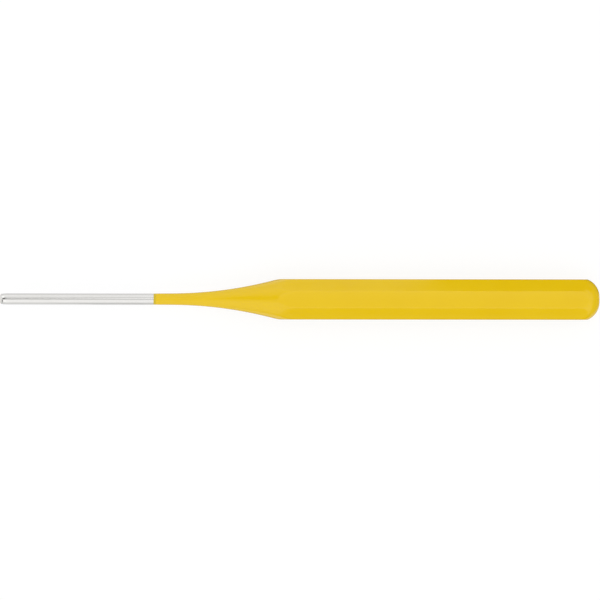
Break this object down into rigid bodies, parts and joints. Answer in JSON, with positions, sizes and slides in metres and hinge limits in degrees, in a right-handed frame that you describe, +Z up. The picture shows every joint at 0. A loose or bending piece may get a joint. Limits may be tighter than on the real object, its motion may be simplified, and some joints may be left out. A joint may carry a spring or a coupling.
{
  "type": "pin punch",
  "caption": "Solid pin punch with a long parallel pin, a hollow flare into an octagonal coated shank, and a domed striking head.",
  "frame": {"origin": "under the middle of the punch, on the surface that it lies on", "axes": "+X from the tip towards the head along the punch, +Z up out of the flat that it lies on, +Y across the shank"},
  "size_m": [0.15, 0.0102, 0.0101],
  "materials": {
    "ground_steel": "chrome vanadium tool steel, hardened and ground bright round the pin, with fine grinding marks across its length",
    "baked_coat": "warm yellow lacquer, sprayed and baked, glossy and slightly uneven"
  },
  "bodies": {
    "root": {"punch_blank": "ground_steel", "coating": "baked_coat"}
  },
  "joints": []
}
